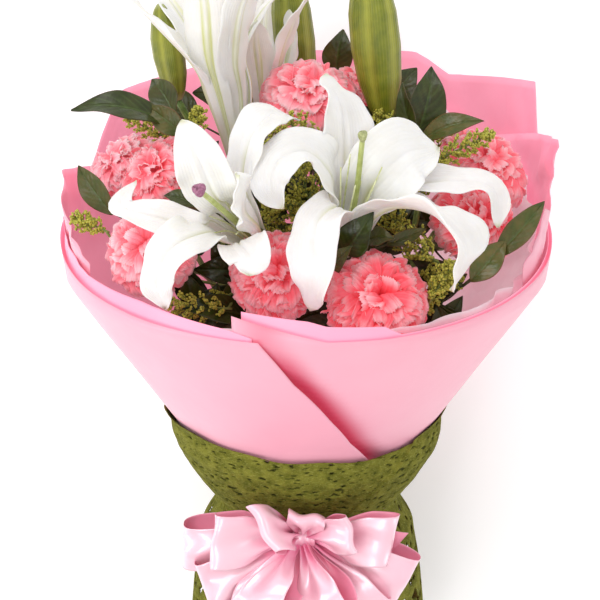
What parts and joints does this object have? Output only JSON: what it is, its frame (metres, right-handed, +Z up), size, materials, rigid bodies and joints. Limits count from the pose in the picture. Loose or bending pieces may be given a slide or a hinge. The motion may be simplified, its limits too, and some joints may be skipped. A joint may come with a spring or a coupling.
{
  "type": "bouquet of carnations and lilies",
  "caption": "Tied bouquet of white lilies and pink carnations with leaves and goldenrod, in a pink paper cone with a green mesh collar and a satin bow, lying on its back.",
  "frame": {"origin": "on the surface the bouquet lies on, below the middle of its bounding box", "axes": "+Z up from the surface, +Y towards the flowers' end, +X to the right of a person looking down on it with the flowers away from them"},
  "size_m": [0.3968, 0.6298, 0.3858],
  "materials": {
    "pink_paper": "satin",
    "tissue_paper": "satin",
    "green_mesh": "matte",
    "satin_ribbon": "satin",
    "lily_petal": "satin",
    "pistil": "satin",
    "lily_bud": "satin",
    "green_stem": "satin",
    "carnation_petal": "matte",
    "leaf": "gloss",
    "goldenrod": "matte",
    "twine": "matte"
  },
  "bodies": {
    "root": {"wrap_back_sheet": "pink_paper", "wrap_front_left": "pink_paper", "wrap_front_right": "pink_paper", "wrap_left_sheet": "pink_paper", "wrap_right_sheet": "pink_paper", "tissue_lining": "tissue_paper", "mesh_band": "green_mesh", "mesh_skirt": "green_mesh", "bow": "satin_ribbon", "lily_a_petal_1": "lily_petal", "lily_a_sepal_2": "lily_petal", "lily_a_petal_3": "lily_petal", "lily_a_sepal_4": "lily_petal", "lily_a_petal_5": "lily_petal", "lily_a_sepal_6": "lily_petal", "lily_b_sepal_1": "lily_petal", "lily_b_petal_2": "lily_petal", "lily_b_sepal_3": "lily_petal", "lily_b_petal_4": "lily_petal", "lily_b_sepal_5": "lily_petal", "lily_b_petal_6": "lily_petal", "lily_c_petal_1": "lily_petal", "lily_c_sepal_2": "lily_petal", "lily_c_petal_3": "lily_petal", "lily_c_sepal_4": "lily_petal", "lily_c_petal_5": "lily_petal", "lily_c_sepal_6": "lily_petal", "lily_d_petal_1": "lily_petal", "lily_d_sepal_2": "lily_petal", "lily_d_petal_3": "lily_petal", "lily_d_sepal_4": "lily_petal", "lily_d_petal_5": "lily_petal", "lily_d_sepal_6": "lily_petal", "lily_a_pistil": "pistil", "lily_b_pistil": "pistil", "lily_c_pistil": "pistil", "lily_d_pistil": "pistil", "lily_bud_e": "lily_bud", "lily_bud_f": "lily_bud", "lily_bud_g": "lily_bud", "lily_stalk_left": "green_stem", "lily_stalk_right": "green_stem", "lily_stalk_back": "green_stem", "carnation_1": "carnation_petal", "carnation_2": "carnation_petal", "carnation_3": "carnation_petal", "carnation_4": "carnation_petal", "carnation_5": "carnation_petal", "carnation_6": "carnation_petal", "carnation_7": "carnation_petal", "carnation_8": "carnation_petal", "carnation_9": "carnation_petal", "foliage_left": "leaf", "foliage_back": "leaf", "foliage_right": "leaf", "foliage_front": "leaf", "goldenrod_left": "goldenrod", "goldenrod_middle": "goldenrod", "goldenrod_right": "goldenrod", "stem_tie": "twine"}
  },
  "joints": []
}
